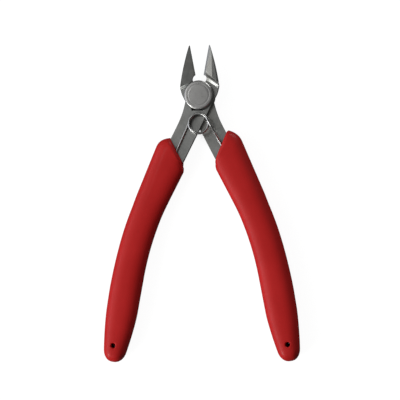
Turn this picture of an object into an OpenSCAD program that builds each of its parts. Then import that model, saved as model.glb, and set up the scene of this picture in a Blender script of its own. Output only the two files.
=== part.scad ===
// Diagonal cutting pliers with a lap joint, a return spring and moulded grips.
// The tool lies flat: +Z is the rivet's axis, +Y points to the jaw tips, and the
// origin is on the rivet's axis at the plane that the tool rests on.
// Both halves are drawn at rest, which is fully open.

/* [Blades] */
// Thickness of each stamped blade
plate_t = 2; // [1.6:0.1:2.4]
// Half of the angle between the cutting edges at rest
edge_angle = 10.5; // [8:0.5:12]
// Gap that each cutting edge leaves to the middle when the jaws are shut
edge_gap = 0.05; // [0.02:0.01:0.1]
// Distance from the rivet's axis to the tips
jaw_len = 20.9; // [18:0.1:22]
// Distance from the rivet's axis to the heel of the cutting edges
heel_len = 8.9; // [8.6:0.1:9.5]
// Radius of the relief notch below the cutting edges
notch_r = 1.8; // [1.4:0.1:2]
// Width of the bar between the joint and the grip
bar_w = 8.66; // [8:0.1:9.5]
// Lean of the bar from the tool's centre line
bar_angle = 27; // [25:0.5:29]
// Angle of the bend's line across the jaw
bend_angle = 33.7; // [30:0.5:36]
// Thickness of a jaw at its tip
tip_t = 0.9; // [0.7:0.1:1.4]
// Width of the bevel beside a cutting edge
bevel_w = 0.7; // [0.4:0.1:0.9]

/* [Joint] */
// Radius of the rivet's shank
shank_r = 2.5; // [2:0.1:3]
// Radial clearance of a blade on the shank
shank_fit = 0.05; // [0.02:0.01:0.1]
// Clearance between faces that slide on each other
face_gap = 0.08; // [0.04:0.01:0.12]
// Radius of the rivet's head and of its rear washer
head_r = 5.8; // [5.4:0.1:6]
// Thickness of the rivet's head
head_t = 2; // [1.5:0.1:2.5]

/* [Spring] */
// Diameter of the spring's wire
wire_d = 0.8; // [0.6:0.05:0.9]
// Radius of the coil, to the middle of the wire
coil_r = 3.9; // [3.6:0.1:4]
// Distance of the coil's centre below the rivet's axis
coil_drop = 11.5; // [11:0.1:12]
// Rise of the coil in one turn
coil_pitch = 0.84; // [0.84:0.02:1]
// Full turns between the two legs
coil_turns = 2; // [2:1:3]

/* [Grips] */
// Thickness of a grip, front to back
grip_t = 9; // [8.6:0.1:9.6]
// Width of a grip
grip_w = 12.4; // [12:0.1:13]
// Lean of the grip at its mouth
mouth_angle = 26; // [25:0.5:27]
// Lean of the grip at its end
end_angle = 10.5; // [10:0.5:12]
// Radius of the grip's bend
bend_r = 123.6; // [115:0.1:130]
// Distance along the grip's path at which the bend starts
bend_start = 44; // [42:0.5:46]
// Length of the grip's path from the rivet to the grip's end
grip_end = 112.3; // [110:0.1:114]
// Radius of the tether hole
hole_r = 0.95; // [0.8:0.05:1.2]

/* [Hidden] */
$fn = 96;

// Heights of the stack, from the rest plane up
mid_z = grip_t / 2;
back_z = mid_z - face_gap / 2 - plate_t;
front_z = mid_z + face_gap / 2;
cap_t = back_z - face_gap;
head_z = front_z + plate_t + face_gap;
tall = grip_t + 2;
over = 3;                           // how far a cutting shape runs past what it cuts
span = 130;                         // longer than a blade

// Blade outline
lap_r = head_r - 0.1;               // round end of a blade, under the rivet's head
bar_in = -6.15;                     // the bar's inner edge, across the bar
bar_out = bar_in + bar_w;
neck_r = 37;                        // curve that runs from the bar to the lap
neck_start = 14.5;
neck_turn = 18;
shoulder_r = 8.4;
shoulder_at = [0.6, 3.8];
jaw_back_r = 98;
tip_w = 0.35;                       // width of the blunt end of a jaw
notch_at = 6.8;
bend_at = 6.7;                      // the bend across the jaw starts here, on the front
bend_run = 1.4;
jaw_half_t = 1;                     // half the jaw's thickness beside the bend
ramp_foot = 0.3;                    // the bend's ramp runs down to this height over mid jaw
bevel_h = 0.55;                     // height of the front bevel
face_lean = 8;                      // rise of the jaw's front face from the bevel
rear_h = 0.45;                      // height of the rear bevel
rear_lean = 5;                      // rise of the jaw's rear face from the bevel
margin_foot = 0.5;                  // height at which the margin meets the jaw's back
margin_slope = 0.9;
run_out_r = 2;                      // hollow that the grinding left at the ramp's foot
run_out_dip = 0.02;                 // it goes this much below the ramp and the face
slot_at = [-3.1, -6.1];             // slot in the front blade, half under the rivet's head:
slot_size = [4.8, 1.2];             // its lower left corner, and its size
slot_d = 1.6;

// Grip path: straight, bent, then straight again
path_in = -0.6;                     // sideways offset of the path from the rivet
bend_turn = mouth_angle - end_angle;
bend_end = bend_start + bend_r * bend_turn * PI / 180;
bend_centre = along(mouth_angle, path_in - bend_r, bend_start);
flare_out = 2.8;                    // widening towards the mouth, outside and inside
flare_in = 1;
flare_end = 51;
shoulder_len = 6;                   // length of the outer shoulder's rounding
lip = 0.4;                          // the mouth's lip is thinner than the grip
square_from = 42;                   // from here the rings lie square to the path
taper_start = 92;                   // the grip narrows from here to its end
taper = 1.6;                        // by so much a side
taper_run = 15;                     // over this length
end_start = 107.5;                  // the end's rounding starts here
end_middle = 0.2;
round_power = 2.5;
section_power = 2.5;
grip_sides = 28;
hole_at = [0.4, 105.8];             // across and along the path
tang_end_r = 3.3;
tang_start = 40;
tang_in = -4.87;                    // the tang's edges where it leaves the straight bar
tang_out = tang_in + bar_w;
right_leg_across = -0.3;            // where a spring leg ends, across the path
left_leg_across = -1.1;
leg_end = 29;
leg_fit = 0.15;                     // clearance of a leg in its grip
leg_gap = 0.05;                     // clearance of the right leg over its blade
leg_fall = 0.6;                     // the right leg is down on its blade this far along it
bulge = 0.3;                        // a grip is fuller here, by so much a side
bulge_at = 83;
bulge_run = 8;

// The left and right mouths: [across, along] of their outer and inner corners
LEFT_MOUTH = [[4.2, 20.3], [-5.1, 27.4]];
RIGHT_MOUTH = [[4.9, 17.8], [-5.6, 26.7]];

// A point that lies so far along and across a line leaning by a from the centre line
function along(a, across, dist) =
    [across * cos(a) + dist * sin(a), across * sin(a) - dist * cos(a)];

// A point so far along the grip's path and across it
function on_path(across, dist) =
    dist <= bend_start ? along(mouth_angle, path_in + across, dist)
    : dist <= bend_end ?
        let (a = mouth_angle - bend_turn * (dist - bend_start) / (bend_end - bend_start))
        bend_centre + (bend_r + across) * [cos(a), sin(a)]
    : bend_centre + along(end_angle, bend_r + across, dist - bend_end);

// Points on an arc, from angle a0 to a1
function arc(centre, r, a0, a1, steps) =
    [for (i = [0 : steps]) let (a = a0 + (a1 - a0) * i / steps) centre + r * [cos(a), sin(a)]];

function mix(a, b, t) = a + (b - a) * t;

// Distances along the path at which a bent outline has points
function path_stops() =
    concat([tang_start], [for (i = [0 : 8]) mix(bend_start, bend_end, i / 8)], [hole_at[1]]);

function tang_side(first, last) =
    [for (d = path_stops())
        on_path(mix(first, last, (d - tang_start) / (hole_at[1] - tang_start)), d)];

// Direction of the cutting edge, and the arc of the jaw's back
edge_dir = [-sin(edge_angle), cos(edge_angle)];
edge_out = [-cos(edge_angle), -sin(edge_angle)];
tip = jaw_len * edge_dir + edge_gap * edge_out;
back_tip = tip + tip_w * edge_out;
back_foot = shoulder_at + [-shoulder_r, 0.2];

// The jaw's back is an arc through its foot and its tip that bulges outwards
back_chord = back_tip - back_foot;
back_centre = (back_tip + back_foot) / 2 + [back_chord[1], -back_chord[0]] / norm(back_chord)
    * sqrt(jaw_back_r * jaw_back_r - pow(norm(back_chord) / 2, 2));

// Outline of the blade whose jaw is on the left and whose bar leans right; the jaw's back
// is left oversize here
function neck() = [for (i = [0 : 6]) let (a = neck_turn * (1 - i / 6))
    along(bar_angle, bar_out + neck_r * (1 - cos(a)), neck_start - neck_r * sin(a))];
function tang_tip() = let (c = on_path(hole_at[0], hole_at[1]))
    arc(c, tang_end_r, end_angle, end_angle - 180, 12);
function reversed(list) = [for (i = [len(list) - 1 : -1 : 0]) list[i]];
function blade_outline() = concat(
    [[0, 0]],
    neck(),
    tang_side(tang_out, hole_at[0] + tang_end_r),
    tang_tip(),
    reversed(tang_side(tang_in, hole_at[0] - tang_end_r)),
    arc(shoulder_at, shoulder_r, 180 + bar_angle, 180, 4),
    [back_foot + [0, 4 * over], tip + over * edge_out, tip, notch_at * edge_dir + edge_gap * edge_out]);

module drill(at, r) {
    translate([at[0], at[1], -tall]) cylinder(r = r, h = 2 * tall);
}

// The blade's outline through the full height, with no holes
module blade_column() {
    translate([0, 0, -tall]) linear_extrude(2 * tall) polygon(blade_outline());
    drill([0, 0], lap_r);
}

// Height of the jaw's middle, and of its front face beside the bend, above the plate's underside
jaw_mid = mid_z - front_z;
jaw_top = jaw_mid + jaw_half_t;
bend_slope = (plate_t - jaw_top) / bend_run;
under_shift = plate_t * tan(atan(bend_slope) / 2);
under_end = bend_at - under_shift + bend_run;
reach = jaw_len + over;

// Extrudes a side view, drawn along the line that crosses the bend, to the blade's full width
module along_bend() {
    rotate(bend_angle) rotate([90, 0, -90]) translate([0, 0, -span])
        linear_extrude(2 * span) mirror([1, 0, 0]) children();
}

// Side view of the flat plate, which steps down over the bend and runs out inside the jaw
module plate_side() {
    drop = plate_t - jaw_mid - ramp_foot;
    foot = bend_at + drop / bend_slope;
    polygon([[-span, 0], [bend_at - under_shift, 0], [under_end, jaw_top - plate_t],
             [foot, jaw_under(foot)], [foot, plate_t - drop], [bend_at, plate_t], [-span, plate_t]]);
}

// Height of the jaw's rear face, so far from the rivet across the bend
function jaw_under(at) =
    mix(jaw_top - plate_t, jaw_mid - tip_t / 2, (at - under_end) / (reach - under_end));

// Side view of the jaw, which thins to its tip
module jaw_side() {
    polygon([[under_end, jaw_top - plate_t], [reach, jaw_under(reach)], [reach, jaw_mid + tip_t / 2],
             [bend_at + bend_run, jaw_top], [under_end, jaw_top]]);
}

// Extrudes a section along the cutting edge, from a distance up the jaw to past its tip;
// X runs from the edge to the jaw's back
module along_edge(from) {
    rotate(edge_angle) translate([-edge_gap, 0, jaw_mid]) rotate([90, 0, 0]) mirror([1, 0, 0])
        translate([0, 0, -2 * jaw_len]) linear_extrude(2 * jaw_len - from) children();
}

// Space under the jaw's ground front face, which rises from the bevel to the jaw's back
module face_section() {
    low = bevel_h - (bevel_w + over) * tan(face_lean);
    high = bevel_h + (2 * head_r - bevel_w) * tan(face_lean);
    polygon([[-over, low], [2 * head_r, high], [2 * head_r, -over], [-over, -over]]);
}

// Space over the jaw's rear face, which rises from the bevel to the jaw's back
module rear_section() {
    low = -rear_h + 3 * bevel_w * tan(rear_lean);
    high = -rear_h - (2 * head_r - bevel_w) * tan(rear_lean);
    polygon([[-2 * bevel_w, low], [2 * head_r, high], [2 * head_r, -over], [-2 * bevel_w, -over]]);
}

// Space outside the sharp edge, which has a bevel on both faces
module edge_section() {
    polygon([[0, 0], [2 * bevel_w, 2 * bevel_h], [2 * bevel_w, over], [-over, over],
             [-over, -over], [2 * bevel_w, -over], [2 * bevel_w, -2 * rear_h]]);
}

// Ring that cuts the slanted margin along the jaw's back, on the front
module back_margin() {
    inner = jaw_back_r - over;
    outer = jaw_back_r + over;
    translate([back_centre[0], back_centre[1], jaw_mid + margin_foot]) rotate_extrude($fn = 360)
        polygon([[inner, over * margin_slope], [outer, -over * margin_slope],
                 [outer, over * margin_slope]]);
}

// Space outside the jaw's back
module outside_back() {
    difference() {
        translate([-3 * head_r, back_foot[1] - 0.1, -tall]) cube([4 * head_r, 2 * jaw_len, 2 * tall]);
        translate([back_centre[0], back_centre[1], -2 * tall])
            cylinder(r = jaw_back_r, h = 4 * tall, $fn = 360);
    }
}

// A point where the ramp meets the ground face, so far from the cutting edge, with X along
// the bend and Y across it
bend_turn_in = bend_angle - edge_angle;
function crease(from_edge) =
    let (z = jaw_mid + bevel_h + (from_edge - bevel_w) * tan(face_lean),
         across = bend_at + (plate_t - z) / bend_slope)
    [(across * sin(bend_turn_in) - from_edge - edge_gap) / cos(bend_turn_in), across, z];

// The way the crease runs, the outward directions of the face and the ramp, and half the
// angle between them
crease_dir = unit(crease(2 * bevel_w) - crease(bevel_w));
face_normal = unit([cos(bend_turn_in) * tan(face_lean), -sin(bend_turn_in) * tan(face_lean), 1]);
ramp_normal = unit([0, bend_slope, 1]);
half_turn = acos(face_normal * ramp_normal) / 2;
run_out_w = run_out_r * tan(half_turn);

// Puts a section's X and Y square to the crease, with Z along it
module along_crease(offset) {
    rotate(bend_angle) translate(crease(bevel_w) + offset)
        rotate([0, acos(crease_dir[2]), atan2(crease_dir[1], crease_dir[0])])
            translate([0, 0, -over]) children();
}

// A vector in the plane square to the crease
function section_of(v) =
    let (flat = norm([crease_dir[0], crease_dir[1]]))
    [(v[0] * crease_dir[0] + v[1] * crease_dir[1]) * crease_dir[2] / flat - v[2] * flat,
     (v[1] * crease_dir[0] - v[0] * crease_dir[1]) / flat];

// Metal that fills the crease, before the hollow is cut
module crease_fill() {
    to_face = 1.2 * run_out_w * cross(crease_dir, face_normal);
    to_ramp = -1.2 * run_out_w * cross(crease_dir, ramp_normal);
    sunk = 0.05;
    along_crease([0, 0, 0]) linear_extrude(4 * over)
        polygon([section_of(to_face - sunk * face_normal), section_of(to_ramp - sunk * ramp_normal),
                 section_of(-run_out_w * unit(face_normal + ramp_normal) / 2)]);
}

module run_out() {
    away = unit(face_normal + ramp_normal) * (run_out_r / cos(half_turn) - run_out_dip);
    along_crease(away) cylinder(r = run_out_r, h = 4 * over);
}

// The blade with its jaw on the left, as the front layer of the lap
module blade() {
    difference() {
        union() {
            intersection() {
                blade_column();
                along_bend() plate_side();
            }
            difference() {
                intersection() {
                    blade_column();
                    along_bend() jaw_side();
                    along_edge(2) face_section();
                }
                back_margin();
            }
            intersection() {
                blade_column();
                crease_fill();
            }
        }
        outside_back();
        run_out();
        along_edge(1) rear_section();
        along_edge(lap_r + 0.5) edge_section();
        drill([0, 0], shank_r + shank_fit);
        drill(notch_at * edge_dir, notch_r);
        drill(on_path(hole_at[0], hole_at[1]), hole_r);
    }
}

module front_blade() {
    color("dimgray") difference() {
        translate([0, 0, front_z]) mirror([1, 0, 0]) blade();
        translate([slot_at[0], slot_at[1], front_z + plate_t - slot_d])
            cube([slot_size[0], slot_size[1], slot_d + over]);
    }
}

module back_blade() {
    color("gray") translate([0, 0, back_z + plate_t]) mirror([0, 0, 1]) blade();
}

module pivot_rivet() {
    rim = 0.35;
    top = head_z + head_t;
    color("silver") rotate_extrude()
        polygon([[0, 0], [shank_r, 0], [shank_r, head_z], [head_r, head_z],
                 [head_r, top - rim], [head_r - rim, top - rim / 4], [head_r - 4 * rim, top], [0, top]]);
}

module rivet_cap() {
    edge = 0.4;
    color("silver") rotate_extrude()
        polygon([[shank_r, 0], [head_r - edge, 0], [head_r, edge], [head_r, cap_t], [shank_r, cap_t]]);
}

// Middle line of the spring's wire: right leg, coil, then left leg
leg_angle = mouth_angle;
coil_low = front_z + plate_t + face_gap + wire_d / 2;
coil_sweep = 360 * coil_turns + 180 - 2 * leg_angle;
coil_rise = coil_pitch * coil_sweep / 360;
right_leg_z = back_z + plate_t + leg_gap + wire_d / 2;
coil_top = coil_low + coil_rise;
coil_exit = [coil_r * cos(leg_angle), coil_r * sin(leg_angle) - coil_drop];
right_tip = on_path(right_leg_across, leg_end);
left_tip = on_path(left_leg_across, leg_end);

function right_leg() = [for (i = [8 : -1 : 1])
    let (t = i / 8, at = mix(coil_exit, right_tip, t))
    [at[0], at[1], mix(coil_top, right_leg_z, (1 - cos(180 * min(1, t / leg_fall))) / 2)]];
function left_leg() = [for (i = [1 : 4]) let (at = mix(coil_exit, left_tip, i / 4))
    [-at[0], at[1], coil_low]];
function coil() = [for (i = [0 : 56]) let (a = leg_angle + coil_sweep * i / 56)
    [coil_r * cos(a), coil_r * sin(a) - coil_drop, coil_top - coil_rise * i / 56]];
function unit(v) = v / norm(v);

// Ring of points round the wire at one point of its middle line
function wire_ring(line, i, sides) =
    let (n = len(line), t = unit(line[min(i + 1, n - 1)] - line[max(i - 1, 0)]),
         u = unit(cross(t, [0, 0, 1])), v = cross(u, t))
    [for (k = [0 : sides - 1]) let (a = 360 * k / sides)
        line[i] + wire_d / 2 * (cos(a) * u + sin(a) * v)];

module return_spring() {
    line = concat(right_leg(), coil(), left_leg());
    sides = 10;
    color("gainsboro") polyhedron(
        [for (i = [0 : len(line) - 1]) each wire_ring(line, i, sides)],
        tube_faces(len(line), sides));
}

// Half widths of a grip, outside and inside its path, so far along the path
function swell(dist) = grip_w / 2 + bulge * exp(-pow((dist - bulge_at) / bulge_run, 2));
function taper_at(dist) = dist < taper_start ? 0 : taper * pow((dist - taper_start) / taper_run, 1.5);
function outer_half(dist) = swell(dist) + flare_out * max(0, 1 - dist / flare_end) - taper_at(dist);
function inner_half(dist) = -grip_w / 2 - flare_in * max(0, 1 - dist / flare_end) + taper_at(dist);

// The outer shoulder rounds down to the mouth's outer corner, so far from the mouth
function shoulder(full, corner, from_mouth) =
    full - (full - corner) * (1 - sqrt(1 - pow(max(0, 1 - from_mouth / shoulder_len), 2)));

// The grip's end is rounded: what is left of its width and thickness there
function end_round(dist) = dist < end_start ? 1
    : pow(1 - pow((dist - end_start) / (grip_end - end_start), round_power), 1 / round_power);

// A ring is [outer distance, inner distance, outer half, inner half, half thickness]
function mouth_ring(mouth, t) =
    let (ease = t * t * (3 - 2 * t),
         out = mix(mouth[0][1], square_from, t), in = mix(mouth[1][1], square_from, ease))
    [out, in, shoulder(outer_half(out), mouth[0][0], out - mouth[0][1]),
     mix(mouth[1][0], inner_half(in), min(1, 3 * t)), grip_t / 2 - lip * pow(1 - min(1, 6 * t), 2)];
function plain_ring(dist) = let (f = end_round(dist))
    [dist, dist, mix(end_middle, outer_half(dist), f), mix(end_middle, inner_half(dist), f),
     grip_t / 2 * f];
function grip_rings(mouth) = concat(
    [for (i = [0 : 10]) mouth_ring(mouth, pow(i / 10, 1.5))],
    [for (i = [1 : 16]) plain_ring(mix(square_from, taper_start, i / 16))],
    [for (i = [1 : 5]) plain_ring(mix(taper_start, end_start, i / 5))],
    [for (i = [1 : 6]) plain_ring(mix(end_start, grip_end, sin(14 * i)))]);

// Points round one ring: a rounded oval section, squarer than an ellipse
function rounded(v) = sign(v) * pow(abs(v), 2 / section_power);
function ring_points(ring) = [for (k = [0 : grip_sides - 1])
    let (a = 360 * (k + 0.5) / grip_sides, across = (1 + rounded(cos(a))) / 2)
    concat(on_path(mix(ring[3], ring[2], across), mix(ring[1], ring[0], across)),
        mid_z + ring[4] * rounded(sin(a)))];

// The walls and ends of a tube of rings, as triangles
function tube_faces(rings, sides) = concat(
    [[for (k = [0 : sides - 1]) k]],
    [[for (k = [sides - 1 : -1 : 0]) (rings - 1) * sides + k]],
    [for (i = [0 : rings - 2], k = [0 : sides - 1], half = [0, 1])
        let (a = i * sides + k, b = i * sides + (k + 1) % sides)
        half == 0 ? [a, a + sides, b] : [b, a + sides, b + sides]]);

module grip_body(mouth) {
    rings = grip_rings(mouth);
    polyhedron([for (ring = rings) each ring_points(ring)], tube_faces(len(rings), grip_sides));
}

// The grip on the right, round a tang whose underside is at tang_z and a spring leg
module grip(mouth, tang_z, leg_tip, leg_z) {
    leg = leg_tip - coil_exit;
    difference() {
        grip_body(mouth);
        translate([0, 0, tang_z]) linear_extrude(plate_t) polygon(blade_outline());
        translate([coil_exit[0], coil_exit[1], leg_z]) rotate([90, 0, atan2(leg[0], -leg[1])])
            cylinder(r = wire_d / 2 + leg_fit, h = norm(leg) + leg_fit);
        drill(on_path(hole_at[0], hole_at[1]), hole_r);
    }
}

module left_grip() {
    color("crimson") mirror([1, 0, 0]) grip(LEFT_MOUTH, front_z, left_tip, coil_low);
}

module right_grip() {
    color("crimson") grip(RIGHT_MOUTH, back_z, right_tip, right_leg_z);
}

front_blade();
back_blade();
pivot_rivet();
rivet_cap();
return_spring();
left_grip();
right_grip();
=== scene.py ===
"""Looks for the diagonal cutting pliers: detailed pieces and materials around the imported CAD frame.

Lengths in the shape code are millimetres in the CAD frame, and mesh() turns them into metres.
"""
import math

import bmesh
import bpy
from mathutils import Matrix, Vector


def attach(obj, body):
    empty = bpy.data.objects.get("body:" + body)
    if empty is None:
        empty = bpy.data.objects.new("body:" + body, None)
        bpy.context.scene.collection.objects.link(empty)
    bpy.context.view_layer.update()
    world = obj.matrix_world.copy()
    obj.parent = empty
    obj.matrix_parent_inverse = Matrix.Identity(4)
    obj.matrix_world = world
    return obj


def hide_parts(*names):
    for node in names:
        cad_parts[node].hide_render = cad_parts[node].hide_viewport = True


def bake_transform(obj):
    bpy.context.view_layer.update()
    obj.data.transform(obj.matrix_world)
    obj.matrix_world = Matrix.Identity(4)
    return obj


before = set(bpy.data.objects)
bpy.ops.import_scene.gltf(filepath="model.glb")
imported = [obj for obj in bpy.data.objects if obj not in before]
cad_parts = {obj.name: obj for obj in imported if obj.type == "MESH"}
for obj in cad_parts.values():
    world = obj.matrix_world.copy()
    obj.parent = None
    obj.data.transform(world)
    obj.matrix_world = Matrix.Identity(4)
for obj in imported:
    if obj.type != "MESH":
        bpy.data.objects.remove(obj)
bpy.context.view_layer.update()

scene = bpy.context.scene
MM = 0.001

# ---------------------------------------------------------------- sizes, as in the CAD source

PLATE_T = 2.0
FACE_GAP = 0.08
GRIP_T = 9.0
MID_Z = GRIP_T / 2
BACK_Z = MID_Z - FACE_GAP / 2 - PLATE_T
FRONT_Z = MID_Z + FACE_GAP / 2
HEAD_Z = FRONT_Z + PLATE_T + FACE_GAP
HEAD_T = 2.0
HEAD_R = 5.8
SHANK_R = 2.5
CAP_T = BACK_Z - FACE_GAP

WIRE_D = 0.8
COIL_R = 3.9
COIL_DROP = 11.5
COIL_PITCH = 0.84
COIL_TURNS = 2

MOUTH_ANGLE = 26.0
END_ANGLE = 10.5
BEND_R = 123.6
BEND_START = 44.0
BEND_END = BEND_START + BEND_R * math.radians(MOUTH_ANGLE - END_ANGLE)
PATH_IN = -0.6
GRIP_END = 112.3
GRIP_W = 12.4
BAR_W = 8.66
HOLE_AT = (0.4, 105.8)
HOLE_R = 0.95


def mix(a, b, t):
    return a + (b - a) * t


def sincos(degrees):
    return math.sin(math.radians(degrees)), math.cos(math.radians(degrees))


def along(angle, across, dist):
    """A point so far across and along a line that leans by angle from the tool's centre line."""
    s, c = sincos(angle)
    return (across * c + dist * s, across * s - dist * c)


def on_path(across, dist):
    """A point on the right grip's path: straight, bent, then straight again."""
    if dist <= BEND_START:
        return along(MOUTH_ANGLE, PATH_IN + across, dist)
    cx, cy = along(MOUTH_ANGLE, PATH_IN - BEND_R, BEND_START)
    if dist <= BEND_END:
        turned = (MOUTH_ANGLE - END_ANGLE) * (dist - BEND_START) / (BEND_END - BEND_START)
        s, c = sincos(MOUTH_ANGLE - turned)
        return (cx + (BEND_R + across) * c, cy + (BEND_R + across) * s)
    x, y = along(END_ANGLE, BEND_R + across, dist - BEND_END)
    return (cx + x, cy + y)


# ---------------------------------------------------------------- mesh helpers

LATHE_SIDES = 128


def mesh(name, points, faces, material, sharp=40):
    """A smooth-shaded mesh from millimetre points, with edges over sharp degrees kept crisp."""
    data = bpy.data.meshes.new(name)
    data.from_pydata([Vector(p) * MM for p in points], [], faces)
    fix = bmesh.new()
    fix.from_mesh(data)
    bmesh.ops.recalc_face_normals(fix, faces=fix.faces)
    if fix.calc_volume(signed=True) < 0:
        bmesh.ops.reverse_faces(fix, faces=fix.faces)
    fix.to_mesh(data)
    fix.free()
    data.shade_smooth()
    data.set_sharp_from_angle(angle=math.radians(sharp))
    data.materials.append(material)
    piece = bpy.data.objects.new(name, data)
    scene.collection.objects.link(piece)
    return piece


def tube(rings, closed_ends=True):
    """Points and faces of a tube through rings that all have the same number of points."""
    count = len(rings[0])
    points = [p for ring in rings for p in ring]
    faces = []
    for first in range(0, count * (len(rings) - 1), count):
        for k in range(count):
            after = (k + 1) % count
            faces.append((first + k, first + after, first + count + after, first + count + k))
    if closed_ends:
        faces.append(tuple(range(count)))
        faces.append(tuple(reversed(range(len(points) - count, len(points)))))
    return points, faces


def circles(profile, segments):
    """One ring of points about Z for each (radius, height) of a profile."""
    turns = [2 * math.pi * k / segments for k in range(segments)]
    return [[(r * math.cos(a), r * math.sin(a), z) for a in turns] for r, z in profile]


def lathe(name, profile, material, segments=LATHE_SIDES, sharp=40):
    """A solid of revolution about Z. The profile runs from one point on the axis to another."""
    points, faces = tube(circles(profile[1:-1], segments), closed_ends=False)
    for end, first in ((profile[0], 0), (profile[-1], len(points) - segments)):
        points.append((0, 0, end[1]))
        faces += [(first + k, first + (k + 1) % segments, len(points) - 1) for k in range(segments)]
    return mesh(name, points, faces, material, sharp)


def rounded_corner(corner, before, after, radius, steps=4):
    """Points that round one corner of a profile between its neighbours."""
    corner, before, after = Vector(corner), Vector(before), Vector(after)
    start = corner + (before - corner).normalized() * radius
    end = corner + (after - corner).normalized() * radius
    return [
        tuple(start.lerp(corner, t).lerp(corner.lerp(end, t), t))
        for t in (i / steps for i in range(steps + 1))
    ]


def soften(profile, radius):
    """The profile with every inner corner rounded."""
    out = [profile[0]]
    for before, corner, after in zip(profile, profile[1:], profile[2:]):
        out += rounded_corner(corner, before, after, radius)
    return out + [profile[-1]]


# ---------------------------------------------------------------- materials

class Nodes:
    """A short way to write a node tree for one material."""

    def __init__(self, name):
        self.material = bpy.data.materials.new(name)
        self.material.use_nodes = True
        self.tree = self.material.node_tree
        self.shader = self.tree.nodes["Principled BSDF"]

    def add(self, kind, inputs=None, **settings):
        node = self.tree.nodes.new(kind)
        for key, value in settings.items():
            setattr(node, key, value)
        for key, value in (inputs or {}).items():
            if isinstance(value, bpy.types.NodeSocket):
                self.tree.links.new(value, node.inputs[key])
            else:
                node.inputs[key].default_value = value
        return node

    def set(self, **values):
        for key, value in values.items():
            socket = self.shader.inputs[key.replace("_", " ")]
            if isinstance(value, bpy.types.NodeSocket):
                self.tree.links.new(value, socket)
            else:
                socket.default_value = value

    def position(self, stretch=(1, 1, 1), turn=0.0):
        """Object coordinates, turned about Z and scaled."""
        coords = self.add("ShaderNodeTexCoord")
        turned = self.add("ShaderNodeMapping", {"Vector": coords.outputs["Object"],
                                                "Rotation": (0, 0, math.radians(turn))})
        return self.add("ShaderNodeMapping", {"Vector": turned.outputs[0], "Scale": stretch}).outputs[0]

    def noise(self, vector, scale, detail=3.0, roughness=0.5):
        return self.add("ShaderNodeTexNoise", {"Vector": vector, "Scale": scale, "Detail": detail,
                                               "Roughness": roughness}).outputs["Fac"]

    def spread(self, value, low, high, to_low, to_high):
        """Maps a value from one range to another, clamped."""
        return self.add("ShaderNodeMapRange", {"Value": value, "From Min": low, "From Max": high,
                                               "To Min": to_low, "To Max": to_high}).outputs[0]

    def tint(self, factor, dark, light):
        """A colour between two, by a factor from 0 to 1."""
        ramp = self.add("ShaderNodeValToRGB", {"Fac": factor})
        ramp.color_ramp.elements[0].color = (*dark, 1)
        ramp.color_ramp.elements[1].color = (*light, 1)
        return ramp.outputs[0]

    def bump(self, height, distance, strength=1.0, after=None):
        inputs = {"Height": height, "Distance": distance, "Strength": strength}
        if after is not None:
            inputs["Normal"] = after
        return self.add("ShaderNodeBump", inputs).outputs[0]


def blade_steel(name, turn):
    """Ground plate steel, brushed along the bar, with faint stains and scratches, and painted shade that
    turns it near black in recesses and close under or beside other parts.
    """
    n = Nodes(name)
    grain = n.noise(n.position((1, 0.04, 1), turn), 5200, 3, 0.6)
    scratches = n.noise(n.position((1, 0.02, 1), turn + 24), 2600, 2, 0.7)
    cloud = n.noise(n.position(), 260, 4, 0.6)
    stain = n.noise(n.position(), 95, 3, 0.55)
    tone = n.add("ShaderNodeMath", {0: grain, 1: cloud}, operation="MULTIPLY").outputs[0]
    colour = n.tint(n.spread(tone, 0.12, 0.42, 0, 1), (0.345, 0.352, 0.335), (0.44, 0.445, 0.43))
    warm = n.add("ShaderNodeMix", {"Factor": n.spread(stain, 0.52, 0.72, 0, 0.35), "A": colour,
                                   "B": (0.36, 0.335, 0.29, 1)}, data_type="RGBA")
    # painted shade: the colour goes near black where the surface is hemmed in, as in the slot, under the
    # rivet head and beside the spring legs
    shade_occlusion = n.add("ShaderNodeAmbientOcclusion", {"Distance": 0.0016}).outputs["AO"]
    painted_shade = n.add("ShaderNodeMix", {"Factor": n.spread(shade_occlusion, 0.3, 0.75, 0.95, 0),
                                    "A": warm.outputs["Result"], "B": (0.02, 0.02, 0.018, 1)},
                  data_type="RGBA")
    n.set(Base_Color=painted_shade.outputs["Result"], Metallic=1.0,
          Roughness=n.spread(cloud, 0.3, 0.7, 0.32, 0.40),
          Normal=n.bump(scratches, 0.000004, 0.4, n.bump(grain, 0.000004, 0.5)))
    return n.material


def turned_steel(name):
    """Lathe-turned steel: fine concentric rings about Z."""
    n = Nodes(name)
    coords = n.add("ShaderNodeTexCoord").outputs["Object"]
    flat = n.add("ShaderNodeVectorMath", {0: coords, 1: (1, 1, 0)}, operation="MULTIPLY").outputs[0]
    radius = n.add("ShaderNodeVectorMath", {0: flat}, operation="LENGTH").outputs["Value"]
    wobble = n.noise(coords, 500, 3, 0.6)
    out = n.add("ShaderNodeMath", {0: radius, 1: 9000.0}, operation="MULTIPLY").outputs[0]
    lines = n.add("ShaderNodeTexNoise", {"W": out, "Scale": 1.0, "Detail": 2.0}, noise_dimensions="1D")
    colour = n.tint(n.spread(lines.outputs["Fac"], 0.3, 0.7, 0, 1),
                    (0.49, 0.485, 0.47), (0.60, 0.595, 0.58))
    n.set(Base_Color=colour, Metallic=1.0, Roughness=n.spread(wobble, 0.3, 0.7, 0.27, 0.38),
          Normal=n.bump(lines.outputs["Fac"], 0.000004, 0.5))
    return n.material


def spring_wire(name):
    """Bright drawn wire with faint draw marks."""
    n = Nodes(name)
    marks = n.noise(n.position(), 900, 3, 0.5)
    colour = n.tint(n.spread(marks, 0.3, 0.7, 0, 1), (0.38, 0.38, 0.37), (0.48, 0.48, 0.47))
    n.set(Base_Color=colour, Metallic=1.0, Roughness=n.spread(marks, 0.3, 0.7, 0.24, 0.34),
          Normal=n.bump(marks, 0.000003, 0.2))
    return n.material


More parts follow.
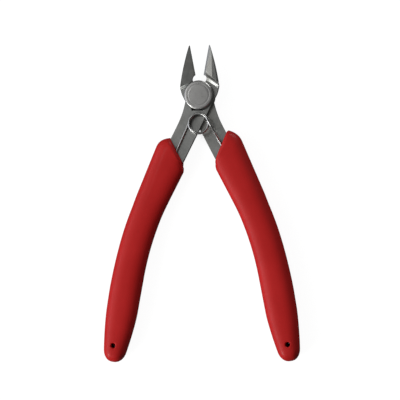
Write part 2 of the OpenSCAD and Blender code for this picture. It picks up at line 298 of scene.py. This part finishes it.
def grip_vinyl(name):
    """Soft red vinyl with a faint gloss, a slight orange-peel skin and cloudy pigment."""
    n = Nodes(name)
    cloud = n.noise(n.position(), 70, 4, 0.6)
    peel = n.noise(n.position(), 900, 2, 0.5)
    pores = n.noise(n.position(), 4200, 2, 0.5)
    scuff = n.noise(n.position((1, 0.25, 1), 18), 380, 5, 0.7)
    colour = n.tint(n.spread(cloud, 0.3, 0.7, 0, 1), (0.44, 0.011, 0.010), (0.50, 0.015, 0.014))
    n.set(Base_Color=colour, Roughness=n.spread(scuff, 0.35, 0.75, 0.50, 0.60), Specular_IOR_Level=0.14,
          Coat_Weight=0.08, Coat_Roughness=0.16,
          Normal=n.bump(pores, 0.000003, 0.3, n.bump(peel, 0.00002, 0.3)))
    return n.material


MAT_FRONT = blade_steel("front_blade_steel", -27)
MAT_BACK = blade_steel("back_blade_steel", 27)
MAT_TURNED = turned_steel("turned_steel")
MAT_WIRE = spring_wire("spring_wire_steel")
MAT_VINYL = grip_vinyl("red_vinyl")

# ---------------------------------------------------------------- blades: the CAD nodes, with broken edges


def finish_blade(node, material):
    """Gives a CAD blade its steel, and lightly broken edges."""
    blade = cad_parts[node]
    blade.data.materials.clear()
    blade.data.materials.append(material)
    merge = blade.modifiers.new("merge", "WELD")
    merge.merge_threshold = 0.002 * MM
    flat = blade.modifiers.new("flat_faces", "DECIMATE")
    flat.decimate_type = "DISSOLVE"
    flat.angle_limit = math.radians(0.5)
    edges = blade.modifiers.new("broken_edges", "BEVEL")
    edges.width = 0.12 * MM
    edges.segments = 2
    edges.limit_method = "ANGLE"
    edges.angle_limit = math.radians(20)
    edges.harden_normals = True


finish_blade("front_blade", MAT_FRONT)
finish_blade("back_blade", MAT_BACK)

# ---------------------------------------------------------------- rivet and its rear washer


def make_rivet():
    """The shank and the large front head, with a shallow turned groove near the head's edge."""
    top = HEAD_Z + HEAD_T
    head = [(HEAD_R, HEAD_Z), (HEAD_R, top - 0.42), (5.42, top - 0.05), (4.6, top - 0.02),
            (4.45, top - 0.035), (4.2, top - 0.035), (3.9, top), (0, top)]
    profile = [(0, 0), (SHANK_R, 0), (SHANK_R, HEAD_Z)] + head
    piece = lathe("rivet_head_and_shank", soften(profile, 0.09), MAT_TURNED)
    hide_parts("pivot_rivet")
    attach(piece, "pivot")


def make_cap():
    """The rear washer round the shank."""
    profile = soften([(SHANK_R, 0.3), (SHANK_R + 0.3, 0), (HEAD_R - 0.5, 0), (HEAD_R, 0.5),
                      (HEAD_R, CAP_T), (SHANK_R, CAP_T)], 0.1)
    rings = circles(profile, LATHE_SIDES)
    points, faces = tube(rings + rings[:1], closed_ends=False)
    last = len(points) - LATHE_SIDES
    faces = [tuple(i - last if i >= last else i for i in face) for face in faces]
    piece = mesh("rivet_washer", points[:last], faces, MAT_TURNED)
    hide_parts("rivet_cap")
    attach(piece, "pivot")


make_rivet()
make_cap()

# ---------------------------------------------------------------- return spring


def wire(name, line, sides=16):
    """A round wire along a line of points that never runs straight up."""
    rings = []
    for i, point in enumerate(line):
        ahead = Vector(line[min(i + 1, len(line) - 1)]) - Vector(line[max(i - 1, 0)])
        ahead.normalize()
        side = ahead.cross(Vector((0, 0, 1))).normalized()
        up = side.cross(ahead)
        rings.append([
            tuple(Vector(point) + WIRE_D / 2 * (math.cos(a) * side + math.sin(a) * up))
            for a in (2 * math.pi * k / sides for k in range(sides))
        ])
    points, faces = tube(rings)
    return mesh(name, points, faces, MAT_WIRE, sharp=60)


LEG_ANGLE = MOUTH_ANGLE
COIL_LOW = FRONT_Z + PLATE_T + FACE_GAP + WIRE_D / 2
COIL_SWEEP = 360 * COIL_TURNS + 180 - 2 * LEG_ANGLE
COIL_RISE = COIL_PITCH * COIL_SWEEP / 360
RIGHT_LEG_Z = BACK_Z + PLATE_T + 0.05 + WIRE_D / 2
COIL_EXIT = (COIL_R * sincos(LEG_ANGLE)[1], COIL_R * sincos(LEG_ANGLE)[0] - COIL_DROP)
RIGHT_TIP = on_path(-0.3, 29.0)
LEFT_TIP = on_path(-1.1, 29.0)


def coil_line():
    """The coil's centre line, from the right leg's exit down to the left leg's."""
    steps = 144
    line = []
    for i in range(steps + 1):
        s, c = sincos(LEG_ANGLE + COIL_SWEEP * i / steps)
        line.append((COIL_R * c, COIL_R * s - COIL_DROP, COIL_LOW + COIL_RISE * (1 - i / steps)))
    return line


def leg_line(side, tip, top, foot):
    """A leg from the coil into a grip, which comes down to foot before the grip's mouth."""
    steps = 28
    line = []
    for i in range(steps + 1):
        t = i / steps
        fall = 1 if t > 0.6 else (1 - math.cos(math.pi * t / 0.6)) / 2
        line.append((side * mix(COIL_EXIT[0], tip[0], t), mix(COIL_EXIT[1], tip[1], t),
                     mix(top, foot, fall)))
    return line


def make_spring():
    coil = wire("spring_coil", coil_line())
    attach(coil, "pivot")
    legs = ((1, RIGHT_TIP, COIL_LOW + COIL_RISE, RIGHT_LEG_Z, "back_half", "spring_leg_right"),
            (-1, LEFT_TIP, COIL_LOW, COIL_LOW, "front_half", "spring_leg_left"))
    for side, tip, top, foot, body, name in legs:
        leg = wire(name, leg_line(side, tip, top, foot))
        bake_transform(leg)
        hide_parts("return_spring")
    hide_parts("return_spring")


make_spring()

# ---------------------------------------------------------------- grips

# [across, along] of each mouth's outer and inner corners
MOUTHS = {"left_grip": ((4.2, 20.3), (-5.1, 27.4)), "right_grip": ((4.9, 17.8), (-5.6, 26.7))}
SHOULDER_POWERS = {"left_grip": 2.6, "right_grip": 2.0}
SQUARE_FROM = 42.0
TAPER_START = 92.0
TAPER_RUN = 15
TAPER_DEPTH = 1.6
END_START = 107.5
END_ACROSS = 0.2             # the grip's rounded end closes on this point across the path
FLARE_END = 51.0             # each side widens from here up to the mouth, by these amounts
FLARE_OUT = 2.8
FLARE_IN = 1.0
BULGE = 0.3                  # the outer side swells a little: by how much, where, and over what length
BULGE_AT = 83
BULGE_RUN = 8
SHOULDER = 6.0
GRIP_SIDES = 64
SECTION_POWER = 2.5
MOUTH_POWER = 3.0
# the mouth's rounded lip: length along the grip, drop in height, and width
LIP_RUN = 1.3
LIP_DROP = 1.15
LIP_WIDTH = 0.12
LIP_STEPS = 8
MOUTH_STEPS = 36
INNER_RUN = 4                # the inner side reaches its full width this far from the mouth
CAVITY_DEPTH = 5.0
CAVITY_IN = -5.25            # the cavity's inner side, across the path
CAVITY_GAP = 0.15            # its clearance round the tang
HOLE_RIM = 0.5


def taper_at(dist):
    """How much each side narrows towards the grip's end."""
    return TAPER_DEPTH * (max(0.0, dist - TAPER_START) / TAPER_RUN) ** 1.5


def outer_half(dist):
    bulge = BULGE * math.exp(-((dist - BULGE_AT) / BULGE_RUN) ** 2)
    return GRIP_W / 2 + bulge + FLARE_OUT * max(0.0, 1 - dist / FLARE_END) - taper_at(dist)


def inner_half(dist):
    return -GRIP_W / 2 - FLARE_IN * max(0.0, 1 - dist / FLARE_END) + taper_at(dist)


def shoulder(full, corner, from_mouth, power):
    """Half width where the outer side slopes down to the mouth's corner."""
    return full - (full - corner) * max(0.0, 1 - from_mouth / SHOULDER) ** power


def rounded(v, power=SECTION_POWER):
    return math.copysign(abs(v) ** (2 / power), v)


def ring_points(out, inn, outer, inner, low, high, power=SECTION_POWER):
    """Points round one ring, which may lie slanted: out and inn are its two distances along the path."""
    ring = []
    for k in range(GRIP_SIDES):
        a = 2 * math.pi * (k + 0.5) / GRIP_SIDES
        across = (1 + rounded(math.cos(a), power)) / 2
        x, y = on_path(mix(inner, outer, across), mix(inn, out, across))
        ring.append((x, y, mix(low, high, (1 + rounded(math.sin(a), power)) / 2)))
    return ring


def grip_rings(node, tang_z):
    """The sleeve's rings: out of its cavity, round the lip, along the slanted mouth, then to its end."""
    (outer_corner, out0), (inner_corner, in0) = MOUTHS[node]
    power = SHOULDER_POWERS[node]
    rings = []
    bar_in, bar_out = CAVITY_IN, CAVITY_IN + BAR_W + 2 * CAVITY_GAP
    slot = (tang_z - CAVITY_GAP, tang_z + PLATE_T + CAVITY_GAP)
    for depth in (CAVITY_DEPTH, CAVITY_DEPTH / 2, 0.25):
        rings.append(ring_points(out0 + depth, in0 + depth, bar_out, bar_in, *slot, 9))
    rings.append(ring_points(out0, in0, bar_out + 0.2, bar_in - 0.2, slot[0] - 0.2, slot[1] + 0.2, 7))
    for i in range(LIP_STEPS + 1):
        turn = math.pi / 2 * i / LIP_STEPS
        sunk = 1 - math.sin(turn)
        run = LIP_RUN * (1 - math.cos(turn))
        out, inn = out0 + run, in0 + run
        outer = shoulder(outer_half(out), outer_corner, run, power) - LIP_WIDTH * sunk
        inner = mix(inner_corner, inner_half(inn), min(1.0, run / INNER_RUN)) + LIP_WIDTH * sunk
        rings.append(ring_points(out, inn, outer, inner, LIP_DROP * sunk, GRIP_T - LIP_DROP * sunk,
                                 MOUTH_POWER))
    for i in range(1, MOUTH_STEPS + 1):
        t = (i / MOUTH_STEPS) ** 1.5
        ease = t * t * (3 - 2 * t)
        out, inn = mix(out0 + LIP_RUN, SQUARE_FROM, t), mix(in0 + LIP_RUN, SQUARE_FROM, ease)
        outer = shoulder(outer_half(out), outer_corner, out - out0, power)
        inner = mix(inner_corner, inner_half(inn), min(1.0, LIP_RUN / INNER_RUN + 3 * t))
        rings.append(ring_points(out, inn, outer, inner, 0, GRIP_T, mix(MOUTH_POWER, SECTION_POWER, t)))
    plain = [mix(SQUARE_FROM, TAPER_START, i / 40) for i in range(1, 41)]
    plain += [mix(TAPER_START, END_START, i / 16) for i in range(1, 17)]
    plain += [mix(END_START, GRIP_END, math.sin(math.radians(5.6 * i))) for i in range(1, 17)]
    for dist in plain:
        left = max(0.0, (dist - END_START) / (GRIP_END - END_START))
        f = (1 - min(left, 0.9999) ** 2.5) ** 0.4
        outer, inner = mix(END_ACROSS, outer_half(dist), f), mix(END_ACROSS, inner_half(dist), f)
        rings.append(ring_points(dist, dist, outer, inner, MID_Z * (1 - f), MID_Z * (1 + f)))
    return rings


def cut_hole(piece, side):
    """Cuts the tether hole through the grip, with rounded rims."""
    x, y = on_path(*HOLE_AT)
    edge = [(HOLE_R + HOLE_RIM * (1 - math.sin(a)), GRIP_T - HOLE_RIM * (1 - math.cos(a)))
            for a in (math.radians(15 * i) for i in range(7))]
    upper = [(0, GRIP_T + 1), (HOLE_R + HOLE_RIM, GRIP_T + 1)] + edge
    profile = upper + [(r, GRIP_T - z) for r, z in reversed(upper)]
    cutter = lathe("cutter", profile, MAT_VINYL, 48)
    cutter.location = Vector((side * x, y, 0)) * MM
    cut = piece.modifiers.new("hole", "BOOLEAN")
    cut.object = cutter
    cut.solver = "MANIFOLD"
    bpy.context.view_layer.update()
    result = piece.evaluated_get(bpy.context.evaluated_depsgraph_get())
    piece.data = bpy.data.meshes.new_from_object(result)
    piece.modifiers.clear()
    bpy.data.objects.remove(cutter)


def make_grip(node, side, tang_z, body):
    """One vinyl sleeve. side is 1 on the right, and -1 mirrors the path for the left."""
    rings = grip_rings(node, tang_z)
    points, faces = tube([[(side * x, y, z) for x, y, z in ring] for ring in rings])
    piece = mesh(node + "_sleeve", points, faces, MAT_VINYL, sharp=50)
    cut_hole(piece, side)
    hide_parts(node)
    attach(piece, body)


make_grip("left_grip", -1, FRONT_Z, "front_half")
make_grip("right_grip", 1, BACK_Z, "back_half")

# ---------------------------------------------------------------- floor, light and camera

CAMERA_AT = Vector((0.1047, -0.0975, 0.7045))
CAMERA_AIM = Vector((-0.00016, -0.04171, MID_Z * MM))
CAMERA_ROLL = -0.355
LENS = 160.5
LIT_POINT = Vector((0, -0.03, 0))
BRIGHT_SIDE = Vector((-1.0, -0.05, 0.1))  # the studio is brightest this way


def make_floor():
    """Paper that looks white in the open, although it bounces only the light of a grey one. Its glow fades
    where it is hemmed in, a painted shade under the grips and in their holes.
    """
    n = Nodes("floor_paper")
    # painted shade: the floor's glow is cut where ambient occlusion shows it hemmed in
    openness = n.spread(n.add("ShaderNodeAmbientOcclusion", {"Distance": 0.02}).outputs["AO"],
                        0.08, 0.25, 0, 0.95)
    seen = n.add("ShaderNodeLightPath").outputs["Is Camera Ray"]
    n.set(Base_Color=(0.15, 0.15, 0.15, 1), Roughness=0.9, Emission_Color=(1, 1, 1, 1),
          Emission_Strength=n.add("ShaderNodeMath", {0: openness, 1: seen}, operation="MULTIPLY").outputs[0])
    n.shader.inputs["Specular IOR Level"].default_value = 0.0
    half = 3.0
    data = bpy.data.meshes.new("floor")
    data.from_pydata([(-half, -half, 0), (half, -half, 0), (half, half, 0), (-half, half, 0)], [],
                     [(0, 1, 2, 3)])
    data.materials.append(n.material)
    floor = bpy.data.objects.new("floor", data)
    scene.collection.objects.link(floor)


def area_light(name, azimuth, zenith, distance, size, watts):
    """A square soft light aimed at the tool, by its direction from the tool's middle."""
    light = bpy.data.lights.new(name, "AREA")
    light.size = size
    light.energy = watts
    lamp = bpy.data.objects.new(name, light)
    (sa, ca), (sz, cz) = sincos(azimuth), sincos(zenith)
    way = Vector((ca * sz, sa * sz, cz))
    lamp.location = LIT_POINT + way * distance
    lamp.rotation_euler = way.to_track_quat("Z", "Y").to_euler()
    scene.collection.objects.link(lamp)


def make_world():
    """A studio that is bright on one side above the horizon, and dim overhead and elsewhere."""
    world = bpy.data.worlds.new("studio")
    scene.world = world
    world.use_nodes = True
    tree = world.node_tree
    coords = tree.nodes.new("ShaderNodeTexCoord")
    facing = tree.nodes.new("ShaderNodeVectorMath")
    facing.operation = "DOT_PRODUCT"
    facing.inputs[1].default_value = BRIGHT_SIDE.normalized()
    share = tree.nodes.new("ShaderNodeMapRange")
    share.inputs["From Min"].default_value = -1.0
    ramp = tree.nodes.new("ShaderNodeValToRGB")
    split = tree.nodes.new("ShaderNodeSeparateXYZ")
    rise = tree.nodes.new("ShaderNodeMapRange")
    rise.inputs["From Min"].default_value = 0.2
    rise.inputs["From Max"].default_value = 0.6
    rise.inputs["To Min"].default_value = 0.12
    background = tree.nodes["Background"]
    tree.links.new(coords.outputs["Generated"], facing.inputs[0])
    tree.links.new(coords.outputs["Generated"], split.inputs[0])
    tree.links.new(split.outputs["Z"], rise.inputs["Value"])
    tree.links.new(facing.outputs["Value"], share.inputs["Value"])
    tree.links.new(share.outputs[0], ramp.inputs[0])
    tree.links.new(ramp.outputs[0], background.inputs["Color"])
    tree.links.new(rise.outputs[0], background.inputs["Strength"])
    stops = ramp.color_ramp.elements
    stops[0].position, stops[0].color = 0.0, (0.18, 0.18, 0.18, 1)
    stops[1].position, stops[1].color = 1.0, (5.0, 5.2, 6.0, 1)
    for position, level in ((0.3, 0.12), (0.55, 0.12), (0.65, 0.17), (0.75, 0.36), (0.88, 1.7)):
        stops.new(position).color = (level, level, level, 1)


def make_camera():
    camera = bpy.data.objects.new("camera", bpy.data.cameras.new("camera"))
    back = (CAMERA_AT - CAMERA_AIM).normalized()
    right = Vector((0, 1, 0)).cross(back).normalized()
    turn = Matrix((right, back.cross(right), back)).transposed().to_4x4()
    camera.matrix_world = (Matrix.Translation(CAMERA_AT) @ turn
                           @ Matrix.Rotation(math.radians(CAMERA_ROLL), 4, "Z"))
    camera.data.sensor_width = 36
    camera.data.lens = LENS
    scene.collection.objects.link(camera)
    scene.camera = camera


make_floor()
make_world()
area_light("key", 147, 24, 0.75, 0.10, 0.13)
area_light("window", 218, 62, 0.75, 0.25, 3.0)
area_light("ramp_card", 64, 72, 0.60, 0.25, 1.1)
make_camera()
scene.view_settings.view_transform = "Standard"
